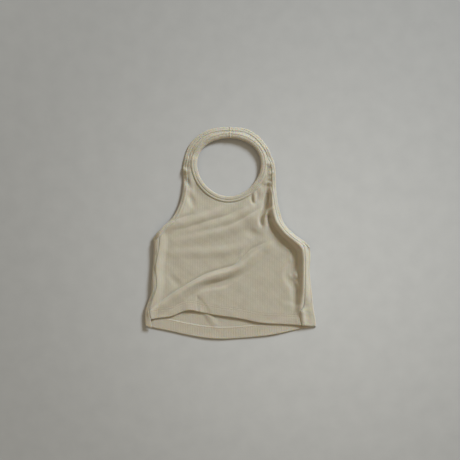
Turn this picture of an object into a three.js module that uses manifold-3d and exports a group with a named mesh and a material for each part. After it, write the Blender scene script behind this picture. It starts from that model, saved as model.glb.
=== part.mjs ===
// A small child's halter neck top in fine rib knit, laid out face up on a table.
//
// Millimetres, +Z up. The table is the plane Z = 0, +Y runs from the hem to the neck and +X to the right as seen
// from above. The origin is on the table, under the middle of the garment's outline.
//
// The front is one cut piece: a body with two straps that meet in a seam at the back of the neck. The back lies
// under it, flat on the table, and comes round both side folds to the side seams, which lie on the upper side.
// A band binds the neck, and a narrower one binds each armhole and strap. Both hems are turned up inside.

import * as THREE from "three";
import { mergeVertices } from "three/addons/utils/BufferGeometryUtils.js";
import Module from "manifold-3d";

const wasm = await Module();
wasm.setup();

// Cloth
const WALL = 1.2; // one layer of the knit
const SEAM_GAP = 0.3; // between pieces that are sewn together
const FRONT_HEM_DEPTH = 15; // how far each hem is turned up
const BACK_HEM_DEPTH = 17.5;
const HEM_STEP = 0.6; // the length over which a hem's raw edge drops to one layer
const HEM_EASE = 8; // and over which the cloth above a hem comes down to it
const RIB_PITCH = 3.6;
const RIB_RISE = 0.22;

// Neck opening, an egg that is fuller at the top
const NECK = { x: -2.4, y: 98.4, halfWidth: 47.3, halfHeight: 43.3, fullness: 0.11 };
const NECKBAND = { width: 9.1, thickness: 3.2, groove: 0.5 };
const BINDING = { width: 5.8, thickness: 2.8, groove: 0.4 };
const CENTRE_BACK_X = -1.5; // the seam that joins the two straps

// A little past the garment's outline on each side
const REACH_X = 130;
const REACH_Y = 162;

// Heights of the middle of the cloth over the table
const LIE_BODY = 4; // the front, where it lies on the back
const LIE_RING = 1.6; // the straps, where they lie on the table
const RING_FROM_Y = 20; // the straps settle to their height between these two
const RING_TO_Y = 62;
const SIDE_FULLNESS = 1.7; // how convex each side is between its seam and its fold
const SOFTNESS = 0.8; // how gently the front comes to rest on what is under it

// How finely the solids are divided. The front's rows slant as its long folds do.
const ROW_STEP = 9.5;
const ROW_SLANT = 0.5;
const LINING_STEP = 5.4; // column step of a plain inner face
const EDGE_STEP = 5;
const BACK_GRID = { over: 8, around: 5, flat: 16, rows: 13, top: 8 }; // divisions, and the y it is cut down from
const FOLD_SAMPLES_PER_POINT = 6;

// Cutting the solids to their outlines
const PRISM_DEPTH = 60;
const SEAM_TRIM = 1; // cloth that is trimmed off the back at each side seam
const ABOVE_BACK = 2.7; // over the back's flat part and its hem, under its sides
const BEYOND_CENTRE = 20; // what is cut off each armhole's binding past the centre back seam
const HIDDEN_UNDER_FRONT = 6; // how far the back follows the bindings in under the front

// Where the front hem meets the side seams
const FRONT_HEM_LEFT_X = -123;
const FRONT_HEM_RIGHT_X = 105;

// Lower edge of each panel: x, y
const FRONT_HEM = [
  [-128, -131],
  [-110, -127.7],
  [-88, -124.6],
  [-73, -118.3],
  [-60, -115.6],
  [-44, -118.8],
  [-20, -123.3],
  [14, -128.2],
  [46, -134.6],
  [80, -136.6],
  [128, -139.8],
];
const BACK_HEM = [
  [-128, -139],
  [-122, -140.6],
  [-107, -143.9],
  [-91.5, -147],
  [-76, -150.6],
  [-60, -153.9],
  [-36, -157.5],
  [-12, -159],
  [19, -157.5],
  [51, -154.4],
  [67, -152],
  [82, -149],
  [98, -145.4],
  [114, -142.2],
  [128, -140.6],
];

// Each side, from the underarm down: y, x of the side seam, x of the fold where the garment turns under, and the
// fold's radius
const LEFT_SIDE = [
  [4, -105.6, -113.8, 3.2],
  [-18, -106.8, -114.3, 3.2],
  [-37.5, -110.4, -114.9, 2.8],
  [-55.5, -112.4, -116.4, 2.8],
  [-75, -110.7, -117.4, 3],
  [-88.5, -113.2, -118.2, 2.6],
  [-100.5, -118, -122, 2.2],
  [-115.5, -122.2, -127, 2],
  [-127.5, -122.4, -127.8, 1.9],
  [-140, -121.6, -127.2, 1.8],
];
const RIGHT_SIDE = [
  [-16, 108.8, 118.4, 2],
  [-33, 109.9, 119.2, 1.8],
  [-48, 110.5, 118.4, 1.6],
  [-63, 110.5, 118.4, 1.5],
  [-78, 110.3, 120, 1.5],
  [-94.5, 109.8, 121.9, 1.5],
  [-106.5, 109.2, 123, 1.5],
  [-112.5, 107.4, 123.8, 1.4],
  [-117, 103.4, 124.5, 1.3],
  [-124, 102.2, 125.6, 1.2],
  [-131, 104, 126.8, 1.1],
  [-142, 106.6, 127.8, 1],
];

// Outer edge of each armhole and strap, from the underarm up to the seam at the back of the neck: x, y
const LEFT_EDGE = [
  [-114.6, -7],
  [-108.9, 0.7],
  [-99.8, 10.6],
  [-86.1, 23.9],
  [-76.1, 44.2],
  [-71.2, 65.8],
  [-70.6, 84],
  [-71.4, 96],
  [-70, 107],
  [-64.8, 125.9],
  [-54.8, 140.6],
  [-40.2, 151.5],
  [-21, 157.8],
  [CENTRE_BACK_X, 159],
];
const RIGHT_EDGE = [
  [118.6, -20.2],
  [109.9, -11.8],
  [93.5, -0.5],
  [79.7, 15.6],
  [72.4, 38.2],
  [68.4, 62.1],
  [67.7, 84],
  [67.2, 96],
  [65, 107.4],
  [62, 113.6],
  [55.8, 128.2],
  [40.9, 146.1],
  [21.4, 156.7],
  [CENTRE_BACK_X, 159],
];

// Folds of the front: how wide each is to the left and right of its path, and the path itself, x, y and the rise
// of the cloth there. A hollow has a negative rise.
const FOLDS = [
  {
    name: "ridge along the right armhole and side seam",
    left: 8,
    right: 12,
    path: [
      [60.5, 102, 3.8],
      [61.6, 82, 4.6],
      [62, 61, 6.4],
      [63.4, 38, 7.8],
      [65.6, 23, 8.8],
      [71.4, 11, 9.2],
      [82.6, -2.4, 9.6],
      [97.6, -11.4, 9.8],
      [107, -21, 9.6],
      [108.4, -34, 9.2],
      [108, -63, 8.2],
      [107.2, -92, 6.6],
      [103, -114, 4.4],
      [104, -140, 1.4],
    ],
  },
  {
    name: "rim along the left armhole and side seam",
    left: 12,
    right: 14,
    path: [
      [-121, -136, 2.2],
      [-122.4, -119, 3.6],
      [-116, -98, 4.8],
      [-110.8, -76, 5.4],
      [-111.6, -50, 5],
      [-107, -20, 5.6],
      [-104.6, 2, 5.4],
      [-92, 17, 4.8],
      [-78.4, 36, 4.4],
      [-71.6, 62, 4.4],
      [-68, 88, 4.2],
      [-65, 108, 3.4],
    ],
  },
  {
    name: "neck ring",
    left: 13,
    right: 13,
    closed: true,
    path: [
      [49.6, 98, 5.2],
      [47, 118, 6],
      [36.4, 133.6, 6.6],
      [18, 143.4, 6.6],
      [-2.4, 146, 6.2],
      [-24, 143, 5],
      [-41.2, 133.6, 4],
      [-51.4, 118, 3.4],
      [-54.4, 98, 2.8],
      [-48, 78, 2],
      [-34, 62.6, 1.2],
      [-18, 53.4, 0.5],
      [-4, 51, 0.3],
      [12, 53, 0.8],
      [29.2, 62.6, 2],
      [45, 78, 3.8],
    ],
  },
  {
    name: "roll of the strap over the band",
    left: 8,
    right: 8,
    path: [
      [-60, 112, 0.4],
      [-54, 124, 1.6],
      [-46, 134, 2],
      [-34, 143, 1.4],
      [-20, 149, 0.4],
    ],
  },
  {
    name: "long diagonal fold",
    left: 9,
    right: 12,
    path: [
      [-119, -121, 0.8],
      [-100, -108, 2.4],
      [-82, -95.5, 3.6],
      [-64, -84.5, 4.6],
      [-47, -75, 5.2],
      [-30, -67, 5.6],
      [-12, -62, 5.8],
      [8, -55, 5.4],
      [26, -43, 4.4],
      [42, -30, 3],
      [58, -18, 1.2],
    ],
  },
  {
    name: "chest fold under the neck",
    left: 9,
    right: 10,
    path: [
      [-92, 9, 0.8],
      [-62, 17, 1.9],
      [-32, 27, 2],
      [2, 40, 0.8],
    ],
  },
  {
    name: "middle chest fold",
    left: 8,
    right: 9,
    path: [
      [-60, 3, 0.5],
      [-30, 12, 1.4],
      [0, 21, 1.9],
      [24, 33, 2.1],
      [40, 44, 1.2],
    ],
  },
  {
    name: "chest fold from the right strap",
    left: 9,
    right: 14,
    path: [
      [-84, -14, 0.8],
      [-40, -4, 2],
      [0, 6, 2.4],
      [28, 21, 2.6],
      [46, 33, 1.6],
    ],
  },
  {
    name: "waist fold",
    left: 10,
    right: 11,
    path: [
      [-88, -30, 0.7],
      [-46, -29, 1.7],
      [2, -25, 1.7],
      [30, -14, 0.7],
    ],
  },
  {
    name: "swell between the neck and the right armhole",
    left: 24,
    right: 24,
    path: [
      [22, 44, 1.2],
      [42, 24, 2.8],
      [50, 0, 2.6],
      [58, -26, 1.4],
    ],
  },
  {
    name: "swell left of the right hollow",
    left: 22,
    right: 22,
    path: [
      [62, -30, 1],
      [70, -52, 2.4],
      [74, -76, 2.6],
      [76, -100, 1],
    ],
  },
  {
    name: "hollow inside the right ridge",
    left: 9,
    right: 8,
    path: [
      [56, 38, -1.5],
      [58, 28, -4.2],
      [60, 17, -5],
      [65, 5, -5.4],
      [76, -8, -5.8],
      [87.5, -17.8, -5.8],
      [96, -26, -5.8],
      [98.6, -38, -5.2],
      [96.6, -50, -3.6],
      [96, -60, -1],
    ],
  },
  {
    name: "hollow where the right strap begins",
    left: 8,
    right: 8,
    path: [
      [53, 65, -2],
      [55.4, 57, -5],
      [55.4, 50, -6],
      [53, 42, -5.6],
      [49.4, 35, -4.4],
      [46, 28, -4],
      [44.6, 20, -3.2],
      [45.4, 11, -1.8],
      [46, 4, -0.4],
    ],
  },
  {
    name: "side of that hollow towards the neck",
    left: 9,
    right: 8,
    path: [
      [41, 68, 0.6],
      [43, 58, 2],
      [42.6, 48, 2],
      [39, 38, 0.8],
    ],
  },
  {
    name: "lower part of the hollow",
    left: 8,
    right: 8,
    path: [
      [91, -38, -1.4],
      [86, -47, -3.2],
      [84.4, -56, -4],
      [86, -68, -4.2],
      [92, -78, -4],
      [97.6, -86, -3.6],
      [100.6, -96, -2.4],
      [101, -108, -1],
    ],
  },
  {
    name: "bend in it",
    left: 8,
    right: 8,
    path: [
      [98, -46, 0.8],
      [97.4, -57, 2.4],
      [99.6, -67, 2],
      [103, -75, 0.8],
    ],
  },
  {
    name: "dent over the right hem",
    left: 7,
    right: 7,
    path: [
      [78, -101, -0.6],
      [88, -104.6, -2.2],
      [97, -108, -2.2],
    ],
  },
  {
    name: "arch in the hem",
    left: 14,
    right: 12,
    path: [
      [-63, -108, 1],
      [-60, -122, 2.8],
    ],
  },
  {
    name: "hollow beside the arch",
    left: 7,
    right: 7,
    path: [
      [-48, -101, -1],
      [-42, -109, -2.4],
      [-35, -119, -1.6],
    ],
  },
  {
    name: "gather on the left strap",
    left: 9,
    right: 9,
    path: [
      [-73, 97, 0.8],
      [-66, 92, 1.6],
      [-60, 91, 0.4],
    ],
  },
  {
    name: "dent below it",
    left: 8,
    right: 8,
    path: [
      [-68, 82, -0.6],
      [-64, 76, -1.8],
      [-63, 68, -0.8],
    ],
  },
  {
    name: "gather on the right strap",
    left: 8,
    right: 8,
    path: [
      [48, 98, 0.6],
      [57, 100, 1.4],
      [66, 98, 0.6],
    ],
  },
  {
    name: "second gather",
    left: 8,
    right: 8,
    path: [
      [47, 80, 0.6],
      [55, 74, 1.6],
      [63, 73, 0.6],
    ],
  },
];

function smoothStep(t) {
  const inside = Math.min(1, Math.max(0, t));
  return inside * inside * (3 - 2 * inside);
}

function smoothMax(a, b) {
  return (a + b + Math.hypot(a - b, SOFTNESS)) / 2;
}

// The other columns of a table, read smoothly at a value of its first column.
function readTable(rows, at) {
  const table = rows[0][0] < rows.at(-1)[0] ? rows : rows.toReversed();
  const last = table.length - 1;
  const next = Math.min(last, Math.max(1, table.findIndex((row) => row[0] > at)));
  const index = at > table[last][0] ? last : next;
  const slope = (i, column) => {
    const before = table[Math.max(0, i - 1)];
    const after = table[Math.min(last, i + 1)];
    return (after[column] - before[column]) / (after[0] - before[0]);
  };
  const [low, high] = [table[index - 1], table[index]];
  const span = high[0] - low[0];
  const t = Math.min(1, Math.max(0, (at - low[0]) / span));
  return low.slice(1).map((value, i) => {
    const column = i + 1;
    const [start, end] = [slope(index - 1, column) * span, slope(index, column) * span];
    const rise = high[column] - value;
    return value + t * (start + t * (3 * rise - 2 * start - end + t * (start + end - 2 * rise)));
  });
}

const leftSeamX = (y) => readTable(LEFT_SIDE, y)[0];
const rightSeamX = (y) => readTable(RIGHT_SIDE, y)[0];
const frontHemY = (x) => readTable(FRONT_HEM, x)[0];
const backHemY = (x) => readTable(BACK_HEM, x)[0];

function curveThrough(points, closed = false) {
  const vectors = points.map(([x, y, z = 0]) => new THREE.Vector3(x, y, z));
  return new THREE.CatmullRomCurve3(vectors, closed, "catmullrom", 0.5);
}

for (const fold of FOLDS) {
  const samples = curveThrough(fold.path, fold.closed).getPoints(FOLD_SAMPLES_PER_POINT * fold.path.length);
  const reach = Math.max(fold.left, fold.right);
  fold.samples = samples;
  fold.bounds = new THREE.Box3().setFromPoints(samples).expandByScalar(reach);
}

// How much one fold lifts the cloth at a point: its rise on the path, falling smoothly to nothing on each side.
function liftOf(fold, x, y) {
  const { min, max } = fold.bounds;
  if (x < min.x || x > max.x || y < min.y || y > max.y) return 0;
  let nearest = Infinity;
  let lift = 0;
  for (let i = 1; i < fold.samples.length; i++) {
    const [a, b] = [fold.samples[i - 1], fold.samples[i]];
    const [dx, dy] = [b.x - a.x, b.y - a.y];
    const t = Math.min(1, Math.max(0, ((x - a.x) * dx + (y - a.y) * dy) / (dx * dx + dy * dy)));
    const away = Math.hypot(x - a.x - t * dx, y - a.y - t * dy);
    if (away >= nearest) continue;
    nearest = away;
    const onLeft = dx * (y - a.y) - dy * (x - a.x) > 0;
    const share = 1 - smoothStep(away / (onLeft ? fold.left : fold.right));
    lift = (a.z + t * (b.z - a.z)) * share;
  }
  return lift;
}

// The least height at which the front's middle clears the back, with each hem that is there.
function clearance(x, y) {
  const inHem = (hemY, depth) => smoothStep((hemY + depth + ROW_STEP + HEM_EASE - y) / HEM_EASE);
  const onBack = 1 - smoothStep((y - RING_FROM_Y) / (RING_TO_Y - RING_FROM_Y));
  const hems = inHem(backHemY(x), BACK_HEM_DEPTH) + inHem(frontHemY(x), FRONT_HEM_DEPTH);
  return WALL / 2 + onBack * (WALL + SEAM_GAP) + hems * WALL;
}

// Height of the middle of the front's cloth.
function frontHeight(x, y) {
  const raised = smoothStep((y - RING_FROM_Y) / (RING_TO_Y - RING_FROM_Y));
  const lie = LIE_BODY + (LIE_RING - LIE_BODY) * raised;
  const lifts = FOLDS.reduce((sum, fold) => sum + liftOf(fold, x, y), 0);
  return smoothMax(lie + lifts, clearance(x, y));
}

function frontNormal(x, y) {
  const reach = 1; // half the distance that the slope is measured over
  const acrossX = frontHeight(x + reach, y) - frontHeight(x - reach, y);
  const acrossY = frontHeight(x, y + reach) - frontHeight(x, y - reach);
  return new THREE.Vector3(-acrossX, -acrossY, 2 * reach).normalize();
}

// Closed meshes and solids
class MeshBuilder {
  constructor() {
    this.positions = [];
    this.triangles = [];
  }

  addRow(points) {
    const first = this.positions.length / 3;
    for (const p of points) this.positions.push(p.x, p.y, p.z);
    return points.map((_, i) => first + i);
  }

  addTriangle(a, b, c, flipped = false) {
    this.triangles.push(...(flipped ? [a, c, b] : [a, b, c]));
  }

  // Joins two rows of vertices that run the same way, whatever the number in each.
  joinRows(lower, upper, flipped = false) {
    let [i, j] = [0, 0];
    while (i < lower.length - 1 || j < upper.length - 1) {
      const lowerAt = (i + 1) / (lower.length - 1 || 1);
      const upperAt = (j + 1) / (upper.length - 1 || 1);
      const stepsLower = j === upper.length - 1 || (i < lower.length - 1 && lowerAt <= upperAt);
      if (stepsLower) {
        this.addTriangle(lower[i], lower[i + 1], upper[j], flipped);
        i += 1;
      } else {
        this.addTriangle(lower[i], upper[j + 1], upper[j], flipped);
        j += 1;
      }
    }
  }

  toSolid() {
    const geometry = new THREE.BufferGeometry();
    geometry.setAttribute("position", new THREE.Float32BufferAttribute(this.positions, 3));
    geometry.setIndex(this.triangles);
    return solidOf(geometry);
  }
}

function solidOf(geometry) {
  const bare = geometry.clone();
  bare.deleteAttribute("normal");
  bare.deleteAttribute("uv");
  const merged = mergeVertices(bare, 1e-4);
  return new wasm.Manifold(
    new wasm.Mesh({
      numProp: 3,
      vertProperties: new Float32Array(merged.attributes.position.array),
      triVerts: new Uint32Array(merged.index.array),
    }),
  );
}

// A wall between an outer and an inner grid of points. Both have the same number of rows.
function wallBetween(outer, inner) {
  const mesh = new MeshBuilder();
  const outerRows = outer.map((row) => mesh.addRow(row));
  const innerRows = inner.map((row) => mesh.addRow(row));
  for (let j = 1; j < outerRows.length; j++) {
    mesh.joinRows(outerRows[j - 1], outerRows[j]);
    mesh.joinRows(innerRows[j - 1], innerRows[j], true);
  }
  const first = (rows) => rows.map((row) => row[0]);
  const last = (rows) => rows.map((row) => row.at(-1));
  mesh.joinRows(innerRows[0], outerRows[0]);
  mesh.joinRows(innerRows.at(-1), outerRows.at(-1), true);
  mesh.joinRows(first(innerRows), first(outerRows), true);
  mesh.joinRows(last(innerRows), last(outerRows));
  return mesh.toSolid();
}

// A bar through a row of sections, each a loop of points with the same number in it.
function barThrough(sections, closed = false) {
  const mesh = new MeshBuilder();
  const loops = sections.map((section) => mesh.addRow([...section, section[0]]));
  const count = closed ? loops.length : loops.length - 1;
  for (let i = 0; i < count; i++) mesh.joinRows(loops[i], loops[(i + 1) % loops.length], true);
  const addCap = (index, flipped) => {
    const centre = new THREE.Vector3();
    for (const p of sections[index]) centre.addScaledVector(p, 1 / sections[index].length);
    const hub = mesh.addRow([centre])[0];
    const loop = loops[index];
    for (let i = 1; i < loop.length; i++) mesh.addTriangle(hub, loop[i - 1], loop[i], flipped);
  };
  if (!closed) {
    addCap(0, false);
    addCap(loops.length - 1, true);
  }
  return mesh.toSolid();
}

function prismOf(outline, holes = []) {
  const shape = new THREE.Shape(outline);
  shape.holes = holes.map((hole) => new THREE.Path(hole));
  const geometry = new THREE.ExtrudeGeometry(shape, { depth: PRISM_DEPTH, bevelEnabled: false });
  geometry.translate(0, 0, -PRISM_DEPTH / 3);
  return solidOf(geometry);
}

function range(from, to, step) {
  const count = Math.max(1, Math.round(Math.abs(to - from) / step));
  return Array.from({ length: count + 1 }, (_, i) => from + ((to - from) * i) / count);
}

// Outlines
function neckLoop() {
  const count = Math.round((Math.PI * (NECK.halfWidth + NECK.halfHeight)) / EDGE_STEP);
  return Array.from({ length: count }, (_, i) => {
    const angle = Math.PI / 2 + (2 * Math.PI * i) / count;
    const across = NECK.halfWidth * Math.cos(angle) * (1 + NECK.fullness * Math.sin(angle));
    return new THREE.Vector2(NECK.x + across, NECK.y + NECK.halfHeight * Math.sin(angle));
  });
}

// Points along an edge with the way across it. The garment is on the right of the direction of travel.
function stationsAlong(edge) {
  const curve = curveThrough(edge);
  const count = Math.round(curve.getLength() / EDGE_STEP);
  return Array.from({ length: count + 1 }, (_, i) => {
    const point = curve.getPointAt(i / count);
    const tangent = curve.getTangentAt(i / count);
    const inward = new THREE.Vector2(tangent.y, -tangent.x);
    return { point: new THREE.Vector2(point.x, point.y), inward };
  });
}

function neckStationsAround() {
  const loop = neckLoop();
  return loop.map((point, i) => {
    const next = loop[(i + 1) % loop.length];
    const before = loop[(i - 1 + loop.length) % loop.length];
    const tangent = next.clone().sub(before).normalize();
    return { point, inward: new THREE.Vector2(tangent.y, -tangent.x) };
  });
}

const neckStations = neckStationsAround();
const leftStations = stationsAlong(LEFT_EDGE);
const rightStations = stationsAlong(RIGHT_EDGE.toReversed());
for (const underarm of [leftStations[0], rightStations.at(-1)]) underarm.inward.set(0, -1);

const insetOf = (stations, inset) =>
  stations.map(({ point, inward }) => point.clone().addScaledVector(inward, inset));

// The front, as seen from above, with its side seams moved in by a little.
function frontOutline(seamInset) {
  const inset = BINDING.width + SEAM_GAP;
  const leftArmhole = insetOf(leftStations, inset).filter(({ x, y }) => x > leftSeamX(y) + SEAM_GAP);
  const rightArmhole = insetOf(rightStations, inset)
    .filter(({ x, y }) => x < rightSeamX(y) - SEAM_GAP)
    .toReversed();
  const [leftHemY, rightHemY] = [frontHemY(FRONT_HEM_LEFT_X), frontHemY(FRONT_HEM_RIGHT_X)];
  const leftHemX = leftSeamX(leftHemY) + seamInset;
  const rightHemX = rightSeamX(rightHemY) - seamInset;
  const hem = range(leftHemX, rightHemX, EDGE_STEP).map((x) => new THREE.Vector2(x, frontHemY(x)));
  const rightSide = range(rightHemY, rightArmhole[0].y, EDGE_STEP)
    .slice(1, -1)
    .map((y) => new THREE.Vector2(rightSeamX(y) - seamInset, y));
  const leftSide = range(leftArmhole[0].y, leftHemY, EDGE_STEP)
    .slice(1, -1)
    .map((y) => new THREE.Vector2(leftSeamX(y) + seamInset, y));
  return [...hem, ...rightSide, ...rightArmhole, ...leftArmhole.toReversed().slice(1), ...leftSide];
}

// The back, as seen from above: under each binding at the sides and straight across where the front hides it.
function backOutline() {
  const isLeft = ({ x, y }) => x < leftSeamX(y) + HIDDEN_UNDER_FRONT && y < NECK.y;
  const isRight = ({ x, y }) => x > rightSeamX(y) - HIDDEN_UNDER_FRONT && y < NECK.y;
  const left = insetOf(leftStations, BINDING.width + SEAM_GAP).filter(isLeft);
  const right = insetOf(rightStations, BINDING.width + SEAM_GAP).filter(isRight);
  return [
    new THREE.Vector2(-REACH_X, -REACH_Y),
    new THREE.Vector2(REACH_X, -REACH_Y),
    new THREE.Vector2(REACH_X, right.at(-1).y),
    ...right.toReversed(),
    ...left.toReversed(),
    new THREE.Vector2(-REACH_X, left[0].y),
  ];
}

// A tall block over the back of the neck, between two distances from the centre seam.
function centreBackBlock(from, to) {
  const [left, right] = [CENTRE_BACK_X + from, CENTRE_BACK_X + to];
  const [low, high] = [NECK.y, REACH_Y];
  return prismOf([
    new THREE.Vector2(left, low),
    new THREE.Vector2(right, low),
    new THREE.Vector2(right, high),
    new THREE.Vector2(left, high),
  ]);
}

const centreBackSlit = centreBackBlock(-SEAM_GAP / 2, SEAM_GAP / 2);

// A sheet that follows the front's surface, between two offsets from its middle. The upper side may be ribbed.
function frontSheet(above, below, ribbed) {
  const ribCount = Math.ceil(REACH_X / (RIB_PITCH / 2));
  const fine = Array.from({ length: 2 * ribCount + 1 }, (_, i) => ((i - ribCount) * RIB_PITCH) / 2);
  const coarse = range(fine[0], fine.at(-1), LINING_STEP);
  const rows = range(-REACH_Y - ROW_SLANT * REACH_X, REACH_Y + ROW_SLANT * REACH_X, ROW_STEP);
  const offset = (x, row, distance) => {
    const y = row + ROW_SLANT * x;
    return new THREE.Vector3(x, y, frontHeight(x, y)).addScaledVector(frontNormal(x, y), distance);
  };
  const upper = (ribbed ? fine : coarse).map((x, i) => [x, ribbed && i % 2 === 0 ? above + RIB_RISE : above]);
  return wallBetween(
    rows.map((row) => upper.map(([x, distance]) => offset(x, row, distance))),
    rows.map((row) => coarse.map((x) => offset(x, row, -below))),
  );
}

function makeFront() {
  const outline = prismOf(frontOutline(SEAM_GAP / 2), [insetOf(neckStations, NECKBAND.width + SEAM_GAP)]);
  const hemXs = range(-REACH_X, REACH_X, EDGE_STEP);
  const hemBand = prismOf([
    ...hemXs.map((x) => new THREE.Vector2(x, frontHemY(x) - EDGE_STEP)),
    ...hemXs.toReversed().map((x) => new THREE.Vector2(x, frontHemY(x) + FRONT_HEM_DEPTH)),
  ]);
  const panel = frontSheet(WALL / 2, WALL / 2, true).intersect(outline);
  const turnedHem = frontSheet(0, 1.5 * WALL, false).intersect(outline).intersect(hemBand);
  return panel.add(turnedHem).subtract(centreBackSlit);
}

// The back, in sections across the garment: from the left side seam out to the fold, round it, flat along the table,
// round the right fold and in to the right side seam.
function makeBack() {
  const { over, around, flat, rows: plainRows, top } = BACK_GRID;
  const middle = WALL / 2;
  const hemMiddleY = -138;
  const shares = (count) => Array.from({ length: count + 1 }, (_, i) => i / count);

  // Points and outward normals of one side, from the seam to where the cloth is flat, at a height y.
  const sideOf = (table, y, sign) => {
    const [seam, fold, radius] = readTable(table, y);
    const start = seam - sign * SEAM_TRIM;
    const turn = fold - sign * radius;
    const startHeight = frontHeight(seam, y);
    const upper = shares(over).map((t) => ({
      x: start + (turn - start) * t,
      z: startHeight + (middle + 2 * radius - startHeight) * t * t * (SIDE_FULLNESS + (1 - SIDE_FULLNESS) * t),
    }));
    const bend = shares(around).map((t) => ({
      x: turn + sign * radius * Math.sin(Math.PI * t),
      z: middle + radius + radius * Math.cos(Math.PI * t),
    }));
    const points = [...upper, ...bend.slice(1)];
    return points.map((p, i) => {
      const before = points[Math.max(0, i - 1)];
      const after = points[Math.min(points.length - 1, i + 1)];
      const length = Math.hypot(after.x - before.x, after.z - before.z);
      const atEnd = i === 0 || i === points.length - 1;
      const nx = atEnd ? 0 : (-sign * (after.z - before.z)) / length;
      const nz = atEnd ? (i === 0 ? 1 : -1) : (sign * (after.x - before.x)) / length;
      const rise = i < over && i % 2 === 1 ? RIB_RISE : 0;
      return { ...p, nx, nz, rise };
    });
  };

  const columnCount = 2 * (over + around + 1) + flat - 1;
  const columnAt = (i, y) => {
    const left = sideOf(LEFT_SIDE, y, -1);
    const right = sideOf(RIGHT_SIDE, y, 1).toReversed();
    if (i < left.length) return left[i];
    if (i >= columnCount - right.length) return right[i - (columnCount - right.length)];
    const t = (i - left.length + 1) / flat;
    return { x: left.at(-1).x + (right[0].x - left.at(-1).x) * t, z: middle, nx: 0, nz: -1, rise: 0 };
  };

  const hemRows = [0, BACK_HEM_DEPTH - HEM_STEP / 2, BACK_HEM_DEPTH + HEM_STEP / 2];
  const isFlat = (i) => i >= over + around && i <= columnCount - 1 - over - around;

  // Where the back turns over the sides its hem meets the front's: at the left it drops to the corner before the
  // fold, and at the right it runs straight on to the corner.
  const bottomAt = (i) => {
    const { x } = columnAt(i, hemMiddleY);
    const fromRightSeam = columnCount - 1 - i;
    const under = i < fromRightSeam ? smoothStep(i / over) : smoothStep((fromRightSeam - over) / around);
    return frontHemY(x) * (1 - under) + backHemY(x) * under;
  };

  const outer = [];
  const inner = [];
  for (let j = 0; j < hemRows.length + plainRows; j++) {
    const outerRow = [];
    const innerRow = [];
    for (let i = 0; i < columnCount; i++) {
      const bottom = bottomAt(i);
      const aboveHem = bottom + hemRows.at(-1);
      const share = (j - hemRows.length + 1) / plainRows;
      const y = j < hemRows.length ? bottom + hemRows[j] : aboveHem + (top - aboveHem) * share;
      const { x, z, nx, nz, rise } = columnAt(i, y);
      const above = WALL / 2 + rise;
      const below = WALL * (j < 2 && isFlat(i) ? 1.5 : 0.5);
      outerRow.push(new THREE.Vector3(x + nx * above, y, z + nz * above));
      innerRow.push(new THREE.Vector3(x - nx * below, y, z - nz * below));
    }
    outer.push(outerRow);
    inner.push(innerRow);
  }
  const overFront = prismOf(frontOutline(-SEAM_GAP / 2)).translate(0, 0, PRISM_DEPTH / 3 + ABOVE_BACK);
  return wallBetween(inner, outer).intersect(prismOf(backOutline())).subtract(overFront);
}

// A binding's section across its width, from the seam to the folded edge: shares of the width, and of half the
// thickness. The groove is the line of stitches along the middle.
function bindingSection({ width, thickness, groove }) {
  const half = thickness / 2;
  return [
    [0, 0.75 * half],
    [0.12 * width, half],
    [0.4 * width, half],
    [0.52 * width, half - groove],
    [0.64 * width, half],
    [0.86 * width, 0.86 * half],
    [width, 0.1 * half],
    [0.94 * width, -0.6 * half],
    [0.7 * width, -half],
    [0.3 * width, -half],
    [0, -0.75 * half],
  ];
}

// A binding along stations on its folded edge. Its section lies on the front's surface.
function bindingAlong(stations, shape, closed = false) {
  const section = bindingSection(shape);
  const sections = stations.map(({ point, inward }) =>
    section.map(([across, up]) => {
      const { x, y } = point.clone().addScaledVector(inward, shape.width - across);
      return new THREE.Vector3(x, y, frontHeight(x, y) + up);
    }),
  );
  return barThrough(sections, closed);
}

const beyondLeft = centreBackBlock(-SEAM_GAP / 2, BEYOND_CENTRE);
const beyondRight = centreBackBlock(-BEYOND_CENTRE, SEAM_GAP / 2);

const garment = new THREE.Group();

function addPiece(name, solid, colour) {
  const mesh = solid.getMesh();
  const geometry = new THREE.BufferGeometry();
  geometry.setAttribute("position", new THREE.BufferAttribute(mesh.vertProperties, 3));
  geometry.setIndex(new THREE.BufferAttribute(mesh.triVerts, 1));
  geometry.computeVertexNormals();
  const material = new THREE.MeshStandardMaterial({ color: colour, roughness: 0.92, metalness: 0 });
  const piece = new THREE.Mesh(geometry, material);
  piece.name = name;
  garment.add(piece);
}

const IVORY_RIB = "#d9cfb6";
const IVORY_BAND = "#ddd3bb";

addPiece("front", makeFront(), IVORY_RIB);
addPiece("back", makeBack(), IVORY_RIB);
addPiece("neckband", bindingAlong(neckStations, NECKBAND, true).subtract(centreBackSlit), IVORY_BAND);
addPiece("armhole_binding_left", bindingAlong(leftStations, BINDING).subtract(beyondLeft), IVORY_BAND);
addPiece("armhole_binding_right", bindingAlong(rightStations, BINDING).subtract(beyondRight), IVORY_BAND);

export default garment;
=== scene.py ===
"""A small child's halter neck top in fine ivory rib knit, laid out face up on a pale table.

The garment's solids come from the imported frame. Each is replaced by the cloth that it stands for: the
front and back as knitted shells with their ribs, hems and folds, and the neckband and armhole bindings as
folded strips with their rows of stitches. Lengths below are in millimetres, in the frame's own axes, and
become metres in the meshes.
"""

import math

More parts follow.
